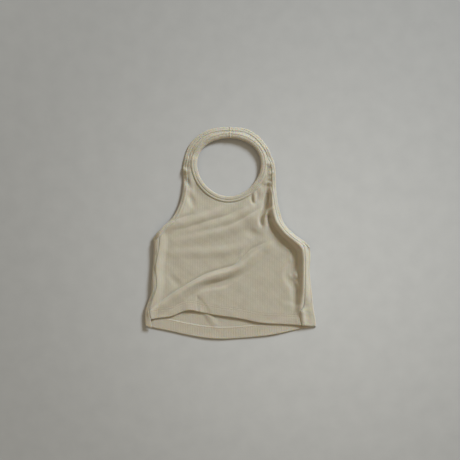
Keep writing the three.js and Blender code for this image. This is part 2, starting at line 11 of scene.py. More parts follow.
import bmesh
import bpy
import numpy as np
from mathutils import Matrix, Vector


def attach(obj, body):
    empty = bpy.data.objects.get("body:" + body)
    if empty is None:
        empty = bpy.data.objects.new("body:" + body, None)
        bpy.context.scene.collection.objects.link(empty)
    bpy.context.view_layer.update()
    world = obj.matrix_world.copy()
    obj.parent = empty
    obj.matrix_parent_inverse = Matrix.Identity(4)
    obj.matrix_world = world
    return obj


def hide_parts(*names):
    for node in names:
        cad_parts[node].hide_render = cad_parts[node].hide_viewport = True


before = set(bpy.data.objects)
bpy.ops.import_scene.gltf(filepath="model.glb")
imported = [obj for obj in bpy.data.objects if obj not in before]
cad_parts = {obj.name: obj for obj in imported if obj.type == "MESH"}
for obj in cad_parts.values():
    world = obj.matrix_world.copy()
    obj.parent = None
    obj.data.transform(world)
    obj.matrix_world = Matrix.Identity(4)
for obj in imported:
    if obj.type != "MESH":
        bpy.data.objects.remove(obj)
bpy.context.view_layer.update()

MM = 0.001

# Cloth
WALL = 1.2
SEAM_GAP = 0.3
FRONT_HEM_DEPTH = 15.0
BACK_HEM_DEPTH = 17.5
HEM_EASE = 8.0
RIB_PITCH = 3.6
RIB_DEPTH = 0.1
REACH_X = 132.0
REACH_Y = 165.0

# Neck opening, an egg that is fuller at the top, and the strips that bind the edges
NECK_X = -2.4
NECK_Y = 98.4
NECK_HALF_WIDTH = 47.3
NECK_HALF_HEIGHT = 43.3
NECK_FULLNESS = 0.11
NECKBAND_WIDTH = 9.1
NECKBAND_THICKNESS = 3.2
NECKBAND_GROOVE_AT = 0.38
BINDING_WIDTH = 6.4
BINDING_THICKNESS = 2.9
BINDING_GROOVE_AT = 0.45
STRIP_WALL = 1.0
STATION_STEP = 0.6
CENTRE_BACK_X = -1.5

# Heights of the middle of the cloth over the table
LIE_BODY = 4.0
LIE_RING = 1.6
RING_FROM_Y = 20.0
RING_TO_Y = 62.0
SOFTNESS = 0.8

# Lower edge of each panel: x, y
FRONT_HEM = [
    (-128, -131), (-110, -127.7), (-88, -124.6), (-73, -118.3), (-60, -115.6), (-44, -118.8),
    (-20, -123.3), (14, -128.2), (46, -134.6), (80, -136.6), (128, -139.8),
]
BACK_HEM = [
    (-128, -139), (-122, -140.6), (-107, -143.9), (-91.5, -147), (-76, -150.6), (-60, -153.9),
    (-36, -157.5),
    (-12, -159), (19, -157.5), (51, -154.4), (67, -152), (82, -149), (98, -145.4), (114, -142.2),
    (128, -140.6),
]

# Each side, from the underarm down: y, x of the side seam, x of the fold where the garment turns under, the
# fold's radius
LEFT_SIDE = [
    (4, -105.6, -113.8, 4),
    (-18, -106.8, -114.3, 4.2),
    (-37.5, -110.4, -114.9, 3.8),
    (-55.5, -112.4, -116.4, 3.4),
    (-75, -110.7, -117.4, 4),
    (-88.5, -113.2, -118.2, 3.6),
    (-100.5, -118, -122, 3),
    (-115.5, -121.4, -127, 2.8),
    (-127.5, -119.6, -127.8, 2.6),
    (-140, -117.6, -127.2, 2.4),
]
RIGHT_SIDE = [
    (-16, 108.8, 118.4, 2),
    (-33, 109.9, 119.2, 1.8),
    (-48, 110.5, 118.4, 1.6),
    (-63, 110.5, 118.4, 1.5),
    (-78, 110.3, 120, 1.5),
    (-94.5, 109.8, 121.9, 1.5),
    (-106.5, 109.2, 123, 1.5),
    (-112.5, 107.4, 123.8, 1.4),
    (-117, 103.4, 124.5, 1.3),
    (-124, 102.2, 125.6, 1.2),
    (-131, 104, 126.8, 1.1),
    (-142, 106.6, 127.8, 1),
]

# Outer edge of each armhole and strap, from the underarm up to the seam at the back of the neck: x, y
LEFT_EDGE = [
    (-114.6, -7), (-108.9, 0.7), (-99.8, 10.6), (-86.1, 23.9), (-76.1, 44.2), (-71.2, 65.8), (-70.6, 84),
    (-71.4, 96), (-70, 107), (-64.8, 125.9), (-54.8, 140.6), (-40.2, 151.5), (-21, 157.8),
    (CENTRE_BACK_X, 159),
]
RIGHT_EDGE = [
    (118.6, -20.2), (109.9, -11.8), (93.5, -0.5), (79.7, 15.6), (72.4, 38.2), (68.4, 62.1), (67.7, 84),
    (67.2, 96), (65, 107.4), (62, 113.6), (55.8, 128.2), (40.9, 146.1), (21.4, 156.7), (CENTRE_BACK_X, 159),
]

# Folds of the front: its name, how wide it is to the left and right of its path, how far its crest leans to
# the left of the path, and the path itself, x, y and the rise of the cloth there. A hollow has a negative
# rise.
FOLDS = [
    ("ridge along the right armhole and side seam", 10, 8, 1.2, [
        (61.5, 102, 2.4), (62.2, 82, 2.8), (62.2, 70, 4), (62.2, 60, 6.6), (62.6, 38, 8), (64.4, 23, 9.4),
        (70.8, 11, 10), (81.6, -2, 10.4), (95, -12.6, 10.8), (105, -23, 11), (107.6, -36, 10.6),
        (107.8, -63, 9),
        (107.2, -92, 7.2), (103, -114, 4.4), (104, -140, 1.4),
    ]),
    ("rim along the left armhole and side seam", 9, 14, 0, [
        (-121, -136, 2.2), (-122.4, -119, 3.6), (-116, -98, 4.8), (-110.8, -76, 5.2), (-111.6, -50, 5),
        (-107, -20, 5.4), (-104, 1, 5.2), (-88.4, 13.8, 4.6), (-73.4, 33, 4.3), (-65.4, 61, 4.4),
        (-63, 88, 4.2), (-61, 108, 3.6),
    ]),
    ("neck ring", 13, 13, 0, [
        (-4, 51, 0.3), (12, 53, 0.8), (29.2, 62.6, 1.8), (45, 78, 3.2), (49.6, 98, 4.2), (47, 118, 4.8),
        (36.4, 133.6, 5.6), (18, 144, 6), (-2.4, 147, 5.8), (-24, 144, 4.8), (-41.2, 133.6, 4),
        (-51.4, 118, 3.4), (-54.4, 98, 2.8), (-48, 78, 2), (-34, 62.6, 1.2), (-18, 53.4, 0.5),
        (-8, 51, 0.2),
    ]),
    ("roll of the strap over the band", 8, 8, 0, [
        (-60, 112, 0.4), (-54, 124, 1.6), (-46, 134, 2), (-34, 143, 1.4), (-20, 149, 0.4),
    ]),
    ("long diagonal fold", 8.5, 12, 1.6, [
        (-119, -121, 0.8), (-100, -108, 2.4), (-82, -95.5, 3.6), (-64, -84.5, 4.6), (-47, -75, 5.2),
        (-30, -67, 5.6), (-12, -62, 5.8), (8, -55, 5.4), (26, -43, 4.4), (42, -30, 3), (58, -18, 1.2),
    ]),
    ("crease above it", 2.6, 2.6, 0, [
        (-121, -116, -0.6), (-105, -103, -1.6), (-87, -89.5, -2), (-69, -78.6, -2.1), (-52.4, -68.6, -2.1),
        (-34, -59.6, -2), (-16, -54, -2), (5.6, -47.8, -2.8), (14, -40, -3.6), (21, -33, -3),
        (30, -24.4, -1.4),
        (51, -14, -0.6),
    ]),
    ("hollow below it", 7.5, 10, 0, [
        (-69, -91, -0.6), (-47, -81.4, -1.6), (-29, -77, -3.8), (-12, -74, -4.2), (2, -66.4, -2),
        (27, -53, -1),
        (50, -29, -0.6),
    ]),
    ("chest fold under the neck", 9, 10, 0, [(-92, 9, 0.8), (-62, 17, 1.9), (-32, 27, 2), (2, 40, 0.8)]),
    ("middle chest fold", 8, 9, 0, [
        (-60, 3, 0.5), (-30, 12, 1.4), (0, 21, 1.9), (24, 33, 2.1), (40, 44, 1.2),
    ]),
    ("chest fold from the right strap", 9, 14, 0, [
        (-84, -14, 0.8), (-40, -4, 2), (0, 6, 2.4), (28, 21, 2.6), (46, 33, 1.6),
    ]),
    ("crease over the chest", 3, 3, 0, [
        (-91, 4.5, -0.3), (-70, 7.5, -0.5), (-55, 12, -0.6), (-31, 19.5, -0.5), (-4.5, 27, -0.5),
        (10.5, 36, -0.3),
    ]),
    ("crease from the right strap", 3, 3, 0, [
        (-4.5, 10.5, -0.3), (14, 19.5, -0.7), (33, 31, -0.9), (46, 38, -0.5)]),
    ("crease at the left armhole", 3, 3, 0, [(-86, 19, -0.6), (-72, 24, -0.8), (-57, 28.5, -0.5)]),
    ("waist fold", 10, 11, 0, [(-88, -30, 0.7), (-46, -29, 1.7), (2, -25, 1.7), (30, -14, 0.7)]),
    ("swell between the neck and the right armhole", 24, 24, 0, [
        (22, 44, 0.8), (40, 24, 1.5), (46, 0, 1.3), (54, -26, 0.6),
    ]),
    ("hollow inside the right ridge", 8, 4.6, 0, [
        (57, 29, -1), (58, 23, -6), (59.6, 14.6, -8), (65.4, 3.6, -8), (75, -8, -8), (86, -18.4, -8),
        (93, -27.4, -8), (94.8, -39, -7.5), (93, -50, -6), (91, -60, -2),
    ]),
    ("lip of the cloth over the hollow where the strap begins", 5, 3.2, 0, [
        (60.6, 68, 0.6), (60.8, 60, 2.4), (60.8, 52, 3), (61.6, 44, 2.4), (63, 36, 1),
    ]),
    ("hollow where the right strap begins", 6.5, 5.4, 0, [
        (55.4, 57, -9), (54.6, 52, -12), (53.4, 46, -12), (52.6, 41, -6),
    ]),
    ("its tongue over the chest", 4.6, 5, 0, [
        (52.4, 39, -6), (49.4, 32.4, -8.5), (46, 26.4, -8.5), (45, 19.6, -7), (46, 12, -2),
    ]),
    ("short ridge between the hollows", 5.5, 4.5, 0, [
        (56.4, 34, 1), (53.2, 28, 3), (51.6, 20, 2.6), (52, 11, 0.8)]),
    ("bridge between the hollows", 4.6, 4.6, 0, [
        (53.4, 27, 1), (57, 31.6, 4.2), (60.6, 35.6, 3.4), (64, 39, 1)]),
    ("lower part of the hollow", 7, 9.5, 0, [
        (91, -48, -2.6), (87, -56, -2.3), (85, -64, -2.1), (87.4, -70, -2.1), (92.4, -75.5, -2.4),
        (95.8, -84, -2.4),
        (97, -95, -2.6), (98.5, -108, -1.2),
    ]),
    ("bump beside it", 6, 6, 0, [(95, -60, 0.6), (98.6, -64, 2.2), (102, -67, 1)]),
    ("notch at the right seam", 3, 3, 0, [(100.5, -61, -0.8), (103.5, -67, -1.8)]),
    ("short ridge below the notch", 4, 4, 0, [(99.5, -75, 1.2), (101.6, -84, 1)]),
    ("dent over the right hem", 8, 7, 0, [(82, -101, -0.4), (91, -103, -1.2), (100, -105, -1.2)]),
    ("crease at the foot of the right seam", 3.5, 3.5, 0, [
        (102.4, -113, -1), (100, -119, -1.9), (101, -128, -1.4), (103, -136, -0.8),
    ]),
    ("pinch under the neckband", 3.8, 3.8, 0, [(36.2, 60, 1), (36.3, 54, 2.6), (36.3, 48.6, 1)]),
    ("dent round that pinch", 3.4, 3.4, 0, [
        (31.4, 58, -0.6), (31.6, 51, -2), (34, 45.2, -2.4), (38, 46, -1.4), (40.6, 52, -1.2),
        (41.6, 57.4, -0.8),
    ]),
    ("small dent in the chest", 9, 10, 0, [(24, 3, -0.6), (32, 0, -1.8), (42, -2.6, -0.8)]),
    ("bump beside the end of the crease", 4, 4, 0, [(11, -39, 0.5), (15, -34, 1.2), (18, -29, 0.6)]),
    ("dent beside the left rim", 9, 7, 0, [(-93, -60, -0.5), (-86, -70, -1.1), (-78, -78, -0.8)]),
    ("arch in the hem", 14, 12, 0, [(-63, -108, 0.9), (-60, -122, 2.1)]),
    ("crease beside the arch", 3, 3, 0, [(-49.4, -95, -0.6), (-49.4, -104, -2.2), (-48.4, -115, -1.4)]),
    ("hollow beside the arch", 7, 7, 0, [(-48, -101, -1), (-42, -109, -2.4), (-35, -119, -1.6)]),
    ("gather on the left strap", 5, 5, 0, [(-71, 96, 1.4), (-66.6, 93, 2.4), (-62, 92, 0.6)]),
    ("dent below it", 6, 6, 0, [(-67, 84, -0.8), (-64.4, 76, -3.4), (-62, 68, -2)]),
    ("lower dent on the left strap", 7.5, 7.5, 0, [(-62.4, 59, -1.2), (-60, 51, -3.2), (-56.4, 43, -1.2)]),
    ("upper dent on the right strap", 4.5, 3.5, 0, [
        (51.5, 124, -0.6), (54, 118, -1.4), (57.5, 113, -1.7), (60, 110, -0.8),
    ]),
    ("puff on the right strap", 5, 5, 0, [(54, 107, 0.6), (57.4, 103.4, 1.5), (60, 101, 0.6)]),
    ("crease beside the band", 3, 3, 0, [(56, 99.4, -0.4), (55, 94, -1.2), (55, 88.4, -0.8)]),
    ("thin ridge across the right strap", 3, 3, 0, [(54.6, 84.6, 0.8), (58.6, 89, 1.8), (62, 91, 0.8)]),
    ("crease under that ridge", 3, 3, 0, [(56, 83.6, -0.5), (58.6, 85.4, -1.1), (61, 86.6, -0.4)]),
    ("dent above the hollow", 4.4, 4.4, 0, [(51.6, 70, -0.8), (55.6, 71, -1.8), (58.8, 70.4, -0.8)]),
    ("crease above the thin ridge", 3, 3, 0, [(58.6, 100.6, -0.4), (57.6, 97, -0.8), (57.4, 93.4, -0.5)]),
    ("lower notch beside the binding", 3.5, 3.5, 0, [(55.6, 79, -0.6), (59.4, 78.4, -1.4)]),
    ("ridge between the dents", 3, 3, 0, [(53, 73.8, 0.8), (59.4, 75, 1.2)]),
    ("soft dent between band and binding", 8, 8, 0, [(43.6, 74, -0.5), (48.4, 71, -1.5), (52, 65.6, -0.8)]),
]

# Folds of the back where it shows below the front, in the same way
BACK_FOLDS = [
    ("fold running in under the front", 8, 8, 0, [
        (-40, -112, 1.2), (-32, -125, 1.5), (-24, -136, 1), (-17, -143, 0.2)]),
    ("lift of the hem's edge", 12, 12, 0, [(-70, -158, 0.2), (-30, -162, 1.1), (4, -163, 0.3)]),
    ("second lift", 12, 12, 0, [(20, -162, 0.2), (60, -156, 1), (90, -149, 0.3)]),
]

# Folds of the back where it lies over the garment's sides, beside the side seams
SIDE_FOLDS = [
    ("puff beside the foot of the right seam", 4.5, 5, 0, [
        (105.4, -113.4, 0.6), (107.4, -119, 2.2), (108.4, -127, 2.4), (109.4, -136, 1.2),
    ]),
    ("dent between the puff and the fold", 6, 6, 0, [
        (114, -110, -0.3), (116, -121, -0.9), (117, -133, -0.5)]),
]


# Curves and tables

def smooth_step(t):
    inside = np.clip(t, 0.0, 1.0)
    return inside * inside * (3 - 2 * inside)


def smooth_max(a, b):
    return (a + b + np.hypot(a - b, SOFTNESS)) / 2


def read_table(rows, at):
    """The other columns of a table, read smoothly at values of its first column."""
    table = np.array(sorted(rows), float)
    keys, values = table[:, 0], table[:, 1:]
    slopes = np.empty_like(values)
    slopes[1:-1] = (values[2:] - values[:-2]) / (keys[2:] - keys[:-2])[:, None]
    slopes[0] = (values[1] - values[0]) / (keys[1] - keys[0])
    slopes[-1] = (values[-1] - values[-2]) / (keys[-1] - keys[-2])
    at = np.clip(np.asarray(at, float), keys[0], keys[-1])
    low = np.clip(np.searchsorted(keys, at, side="right") - 1, 0, len(keys) - 2)
    span = (keys[low + 1] - keys[low])[..., None]
    t = ((at - keys[low]) / (keys[low + 1] - keys[low]))[..., None]
    start, end = slopes[low] * span, slopes[low + 1] * span
    rise = values[low + 1] - values[low]
    return values[low] + t * (start + t * (3 * rise - 2 * start - end + t * (start + end - 2 * rise)))


def left_side(y):
    return read_table(LEFT_SIDE, y)


def right_side(y):
    return read_table(RIGHT_SIDE, y)


def front_hem_y(x):
    return read_table(FRONT_HEM, x)[..., 0]


def back_hem_y(x):
    return read_table(BACK_HEM, x)[..., 0]


def curve_through(points, per_span=8):
    """Points on a smooth curve through the given points."""
    p = np.array(points, float)
    p = np.vstack([2 * p[0] - p[1], p, 2 * p[-1] - p[-2]])
    t = np.linspace(0, 1, per_span, endpoint=False)[:, None]
    spans = []
    for a, b, c, d in zip(p[:-3], p[1:-2], p[2:-1], p[3:]):
        spans.append(0.5 * (2 * b + (c - a) * t + (2 * a - 5 * b + 4 * c - d) * t**2
                            + (3 * b - a - 3 * c + d) * t**3))
    return np.vstack(spans + [p[-2][None]])


def spaced_along(points, step):
    """The points of a polyline at an even distance of about one step, with the tangent at each."""
    lengths = np.hypot(*np.diff(points, axis=0).T)
    along = np.concatenate([[0], np.cumsum(lengths)])
    count = max(2, round(along[-1] / step))
    at = np.linspace(0, along[-1], count + 1)
    even = np.stack([np.interp(at, along, column) for column in points.T], 1)
    tangent = np.gradient(even, axis=0)
    return even, tangent / np.linalg.norm(tangent, axis=1)[:, None], at


# The shape of the cloth over the whole front, on an even grid of points

def fold_lift(fold, x, y):
    """How far a fold moves the cloth at each point, as three arrays: sideways in x and y, and up."""
    _, left, right, lean, rows = fold
    path = curve_through(rows)
    most = max(abs(row[2]) for row in rows)
    nearest = np.full(x.shape, np.inf)
    moved = np.zeros((3,) + x.shape)
    for a, b in zip(path[:-1], path[1:]):
        along = b[:2] - a[:2]
        t = np.clip(((x - a[0]) * along[0] + (y - a[1]) * along[1]) / (along @ along), 0, 1)
        off_x, off_y = x - a[0] - t * along[0], y - a[1] - t * along[1]
        away = np.hypot(off_x, off_y)
        on_left = along[0] * off_y - along[1] * off_x > 0
        share = 1 - smooth_step(away / np.where(on_left, left, right))
        rise = a[2] + t * (b[2] - a[2])
        leftwards = np.array([-along[1], along[0]]) / np.linalg.norm(along)
        sideways = lean * share**2 * rise / most
        here = np.stack([leftwards[0] * sideways, leftwards[1] * sideways, rise * share])
        closer = away < nearest
        moved = np.where(closer, here, moved)
        nearest = np.where(closer, away, nearest)
    return moved


def clearance(x, y):
    """The least height at which the front's middle clears the back, with each hem that is there."""
    in_back = smooth_step((back_hem_y(x) + BACK_HEM_DEPTH + HEM_EASE - y) / HEM_EASE)
    in_front = smooth_step((front_hem_y(x) + FRONT_HEM_DEPTH + HEM_EASE - y) / HEM_EASE)
    on_back = 1 - smooth_step((y - RING_FROM_Y) / (RING_TO_Y - RING_FROM_Y))
    return 0.6 * WALL + on_back * (WALL + SEAM_GAP) + (in_back + in_front) * WALL


def softly_uneven(x, y):
    """Small unevenness of a knit that isn't pressed: a few long waves that never line up."""
    waves = [(31.0, 0.4, 0.10), (19.0, 1.9, 0.08), (13.0, 2.7, 0.06), (23.0, 1.1, 0.08), (9.0, 0.9, 0.03)]
    total = np.zeros_like(x)
    for i, (length, angle, height) in enumerate(waves):
        across = x * math.cos(angle) + y * math.sin(angle)
        along = y * math.cos(angle) - x * math.sin(angle)
        bend = 2.2 * np.sin(along / (length * 1.7) + i)
        total += height * np.sin(2 * math.pi * across / length + bend + 1.3 * i)
    return total


class ClothField:
    """Where each point of the front's cut lies: looked up from an even grid, with the way out of the cloth."""

    STEP = 1.0

    def __init__(self):
        self.xs = np.arange(-REACH_X, REACH_X + self.STEP, self.STEP)
        self.ys = np.arange(-REACH_Y, REACH_Y + self.STEP, self.STEP)
        x, y = np.meshgrid(self.xs, self.ys)
        moved = sum(fold_lift(fold, x, y) for fold in FOLDS)
        raised = smooth_step((y - RING_FROM_Y) / (RING_TO_Y - RING_FROM_Y))
        lie = LIE_BODY + (LIE_RING - LIE_BODY) * raised
        z = smooth_max(lie + moved[2] + softly_uneven(x, y), clearance(x, y))
        self.place = np.stack([x + moved[0], y + moved[1], z], -1)
        across = np.gradient(self.place, axis=1)
        up = np.gradient(self.place, axis=0)
        out = np.cross(across, up)
        self.out = out / np.linalg.norm(out, axis=-1, keepdims=True)

    def at(self, x, y):
        """Points of the cloth's middle and its outward directions."""
        col = np.clip((np.asarray(x) - self.xs[0]) / self.STEP, 0, len(self.xs) - 1.001)
        row = np.clip((np.asarray(y) - self.ys[0]) / self.STEP, 0, len(self.ys) - 1.001)
        i, j = col.astype(int), row.astype(int)
        s, t = (col - i)[..., None], (row - j)[..., None]

        def mixed(grid):
            low = grid[j, i] * (1 - s) + grid[j, i + 1] * s
            high = grid[j + 1, i] * (1 - s) + grid[j + 1, i + 1] * s
            return low * (1 - t) + high * t

        out = mixed(self.out)
        return mixed(self.place), out / np.linalg.norm(out, axis=-1, keepdims=True)


cloth = ClothField()


# Relief of the knit

def rib_relief(across):
    """A fine rib: broad flat wales with a narrow furrow between them, as a depth below the surface."""
    phase = np.abs((across / RIB_PITCH + 0.5) % 1.0 - 0.5) * RIB_PITCH
    return -RIB_DEPTH * np.exp(-((phase / 0.5) ** 2))


def groove(distance, width, depth):
    return -depth * np.exp(-((distance / width) ** 2))


def join_relief(x, y):
    """The short seam that closes the strap and its strips behind the neck, with the curl of its end."""
    ridge = -groove(x + 0.7, 0.9, 0.55) + groove(x - 1.3, 0.5, 0.5) + groove(x + 2.6, 0.5, 0.2)
    from_curl = np.hypot(x + 5.4, y - 147.5)
    curl = -groove(from_curl, 1.2, 0.35) + groove(from_curl - 2.2, 0.6, 0.2)
    return np.where(y > NECK_Y, ridge + curl, 0)


def beside(edge, distance, x, y):
    """How far points lie from the line that runs at one distance inside an edge."""
    line = (edge[0] + edge[1] * distance)[::3]
    nearest = np.full(x.shape, np.inf)
    for px, py in line:
        nearest = np.minimum(nearest, (x - px) ** 2 + (y - py) ** 2)
    return np.sqrt(nearest)


# Meshes

def make_object(name, points, faces, cut):
    """A smooth-shaded piece from points in millimetres, with its cut, in millimetres, as the UV map."""
    mesh = bpy.data.meshes.new(name)
    mesh.from_pydata((np.asarray(points) * MM).tolist(), [], faces)
    mesh.update()
    layer = mesh.uv_layers.new(name="cut")
    corners = np.empty(len(mesh.loops), int)
    mesh.loops.foreach_get("vertex_index", corners)
    layer.data.foreach_set("uv", (np.asarray(cut)[corners] * MM).ravel())
    mesh.polygons.foreach_set("use_smooth", [True] * len(mesh.polygons))
    shape = bmesh.new()
    shape.from_mesh(mesh)
    bmesh.ops.recalc_face_normals(shape, faces=shape.faces)
    shape.to_mesh(mesh)
    shape.free()
    piece = bpy.data.objects.new(name, mesh)
    bpy.context.collection.objects.link(piece)
    return piece


def shell(name, upper, lower, keep, cut):
    """A closed wall between two grids of points, of the cells that have three kept corners or more. Where an
    edge runs slantwise through the grid, the row that reaches further out is joined to the shorter one."""
    rows, columns = keep.shape
    index = np.full(keep.shape, -1)
    index[keep] = np.arange(keep.sum())
    offset = int(keep.sum())
    faces = []
    for j in range(rows - 1):
        here, above = index[j].tolist(), index[j + 1].tolist()
        for i in range(columns - 1):
            corners = [c for c in (here[i], here[i + 1], above[i + 1], above[i]) if c >= 0]
            if len(corners) >= 3:
                faces.append(corners)
        kept_here, kept_above = np.flatnonzero(keep[j]), np.flatnonzero(keep[j + 1])
        if len(kept_here) and len(kept_above):
            first_here, first_above = int(kept_here[0]), int(kept_above[0])
            last_here, last_above = int(kept_here[-1]), int(kept_above[-1])
            if 2 <= first_above - first_here <= 4:
                faces += [[here[i], here[i + 1], above[first_above]]
                          for i in range(first_here, first_above - 1)]
            if 2 <= first_here - first_above <= 4:
                faces += [[above[i], here[first_here], above[i + 1]]
                          for i in range(first_above, first_here - 1)]
            if 2 <= last_here - last_above <= 4:
                faces += [[here[i], here[i + 1], above[last_above]]
                          for i in range(last_above + 1, last_here)]
            if 2 <= last_above - last_here <= 4:
                faces += [[above[i], here[last_here], above[i + 1]]
                          for i in range(last_here + 1, last_above)]
    edges = {}
    for face in faces:
        for a, b in zip(face, face[1:] + face[:1]):
            if (b, a) in edges:
                del edges[(b, a)]
            else:
                edges[(a, b)] = True
    under = [[c + offset for c in reversed(face)] for face in faces]
    rim = [[b, a, a + offset, b + offset] for a, b in edges]
    points = np.vstack([upper[keep], lower[keep]])
    pattern = cut[keep]
    return make_object(name, points, faces + under + rim, np.vstack([pattern, pattern]))


def tube(name, sections, cut, closed):
    """A strip through a row of sections, each a loop of points."""
    count, around = sections.shape[:2]
    faces = []
    for j in range(count if closed else count - 1):
        for i in range(around):
            a, b = j * around + i, j * around + (i + 1) % around
            c, d = ((j + 1) % count) * around + (i + 1) % around, ((j + 1) % count) * around + i
            faces.append([a, d, c, b])
    if not closed:
        faces.append(list(range(around)))
        faces.append([(count - 1) * around + i for i in reversed(range(around))])
    return make_object(name, sections.reshape(-1, 3), faces, cut.reshape(-1, 2))


def thread_row(name, points, out, stitch, gap, thick):
    """A row of machine stitches along a line of points: short round threads that dip at both ends."""
    along = np.concatenate([[0], np.cumsum(np.linalg.norm(np.diff(points, axis=0), axis=1))])
    starts = np.arange(0.5, along[-1] - stitch, stitch + gap)
    shares = np.array([0.0, 0.12, 0.35, 0.65, 0.88, 1.0])
    reach = np.array([0.25, 0.75, 1.0, 1.0, 0.75, 0.25])
    at = starts[:, None] + shares * stitch
    middle = np.stack([np.interp(at, along, column) for column in points.T], -1)
    up = np.stack([np.interp(at, along, column) for column in out.T], -1)
    forward = np.gradient(middle, axis=1)
    forward /= np.linalg.norm(forward, axis=-1, keepdims=True)
    side = np.cross(forward, up)
    turn = np.arange(6) * math.pi / 3
    middle = middle + up * (thick * (0.55 * reach - 0.35))[None, :, None]
    ring = (middle[:, :, None]
            + up[:, :, None] * (np.sin(turn)[None, None, :, None] * reach[None, :, None, None] * thick / 2)
            + side[:, :, None] * (np.cos(turn)[None, None, :, None] * reach[None, :, None, None] * thick / 2))
    faces = []
    for k in range(len(starts)):
        base = k * 36
        for j in range(5):
            for i in range(6):
                a, b = base + 6 * j + i, base + 6 * j + (i + 1) % 6
                faces.append([a, b, b + 6, a + 6])
        faces.append([base + i for i in reversed(range(6))])
        faces.append([base + 30 + i for i in range(6)])
    points = ring.reshape(-1, 3)
    return make_object(name, points, faces, points[:, :2])


# Outlines

def neck_edge():
    """Points round the neck opening, from its top and anticlockwise, each with the way into the garment."""
    angle = np.linspace(0, 2 * math.pi, 720, endpoint=False) + math.pi / 2
    wide = NECK_HALF_WIDTH * np.cos(angle) * (1 + NECK_FULLNESS * np.sin(angle))
    loop = np.stack([NECK_X + wide, NECK_Y + NECK_HALF_HEIGHT * np.sin(angle)], 1)
    even, tangent, along = spaced_along(np.vstack([loop, loop[:1]]), STATION_STEP)
    return even[:-1], np.stack([tangent[:-1, 1], -tangent[:-1, 0]], 1), along[:-1]


def armhole_edge(points, garment_on_right):
    even, tangent, along = spaced_along(curve_through(points, per_span=24), STATION_STEP)
    inward = np.stack([tangent[:, 1], -tangent[:, 0]], 1) * (1 if garment_on_right else -1)
    turn = smooth_step(1 - along / 5.0)[:, None]
    inward = inward * (1 - turn) + np.array([0.0, -1.0]) * turn
    return even, inward / np.linalg.norm(inward, axis=1)[:, None], along


neck = neck_edge()
left_armhole = armhole_edge(LEFT_EDGE, True)
right_armhole = armhole_edge(RIGHT_EDGE, False)


def inside(polygon, x, y):
    """Which points lie inside a closed outline."""
    result = np.zeros(x.shape, bool)
    for (x1, y1), (x2, y2) in zip(polygon, np.roll(polygon, -1, axis=0)):
        if y1 == y2:
            continue
        crosses = (y1 > y) != (y2 > y)
        result ^= crosses & (x < (x2 - x1) * (y - y1) / (y2 - y1) + x1)
    return result


# Front

def rib_columns(reach):
    """Where the columns of points stand: in each furrow, at both its edges, and on the rib between."""
    count = math.ceil(reach / RIB_PITCH)
    ribs = np.arange(-count, count + 1) * RIB_PITCH
    edge = 0.12 * RIB_PITCH
    return np.sort(np.concatenate([ribs, ribs - edge, ribs + edge, ribs + RIB_PITCH / 2]))


NEEDLE_ROWS = (11.2, 14.2)
HEM_NOSE = 1.2


def front_level(x, s):
    """The y of a point at the distance s above the front's hem. The rows level out towards the chest."""
    level = -128.0
    return s + level + (front_hem_y(x) - level) * (1 - smooth_step(s / 120.0))


def front_cloth():
    under_binding = 2.6
    hem_rows = np.array([0, 0.12, 0.4, 0.9, 1.6, 3, 4.6, 6.2, 7.8, 9.4, 10.3, 10.8, 11.2, 11.6, 12.1, 12.8,
                         13.4, 13.8, 14.2, 14.6, 15.1, 15.8])
    x, s = np.meshgrid(rib_columns(REACH_X), np.concatenate([hem_rows, np.arange(17.4, 2 * REACH_Y, 1.7)]))
    y = front_level(x, s)

    # Side seams: in each row the column that is nearest to a seam is moved onto it
    seam_left = left_side(y)[..., 0] + SEAM_GAP / 2
    seam_right = right_side(y)[..., 0] - SEAM_GAP / 2
    below_left, below_right = y < 6, y < -8
    row = np.arange(len(y))
    for seam, below in ((seam_left, below_left), (seam_right, below_right)):
        nearest = np.argmin(np.abs(x - seam), axis=1)
        on_seam = below[row, nearest]
        x[row[on_seam], nearest[on_seam]] = seam[row[on_seam], nearest[on_seam]]
    in_seams = (~below_left | (x >= seam_left - 0.01)) & (~below_right | (x <= seam_right + 0.01))

    left_limit = left_armhole[0] + left_armhole[1] * under_binding
    right_limit = right_armhole[0] + right_armhole[1] * under_binding
    corners = [[REACH_X, right_limit[0, 1]], [REACH_X, -REACH_Y], [-REACH_X, -REACH_Y],
               [-REACH_X, left_limit[0, 1]]]
    outline = np.vstack([left_limit, right_limit[::-1], corners])
    opening = neck[0] + neck[1] * under_binding
    keep = in_seams & inside(outline, x, y) & ~inside(opening, x, y)

    middle, out = cloth.at(x, y)
    nose = np.sqrt(np.clip(1 - (1 - np.clip(s / HEM_NOSE, 0, 1)) ** 2, 0, 1))
    relief = rib_relief(x) + sum(groove(s - row, 0.4, 0.2) for row in NEEDLE_ROWS) + join_relief(x, y)
    beside_seam = np.minimum(np.where(below_left, np.abs(x - seam_left), 99),
                             np.where(below_right, np.abs(x - seam_right), 99))
    relief = relief + groove(beside_seam, 0.7, 0.4)
    relief = relief + groove(beside(neck, NECKBAND_WIDTH + SEAM_GAP, x, y), 0.9, 0.8)
    for armhole in (left_armhole, right_armhole):
        relief = relief + groove(beside(armhole, BINDING_WIDTH + SEAM_GAP, x, y), 0.8, 0.45)
    above = -0.6 * WALL + (1.1 * WALL + relief) * nose
    in_hem = 1 - smooth_step((s - FRONT_HEM_DEPTH) / 0.6)
    below = 0.6 * WALL + (-0.1 * WALL + in_hem * WALL) * nose
    upper = middle + out * above[..., None]
    lower = middle - out * below[..., None]
    return shell("front_cloth", upper, lower, keep, np.stack([x, y], -1))


def front_hem_threads():
    rows = []
    for number, s in enumerate(NEEDLE_ROWS):
        x = np.arange(-121.0, 103.0, 0.8)
        middle, out = cloth.at(x, front_level(x, s))
        rows.append(thread_row(f"front_hem_thread_{number + 1}", middle + out * 0.35 * WALL,
                               out, 2.5, 0.7, 0.42))
    return rows


# Back

OVER, AROUND = 14, 12
BACK_TOP = 2.0


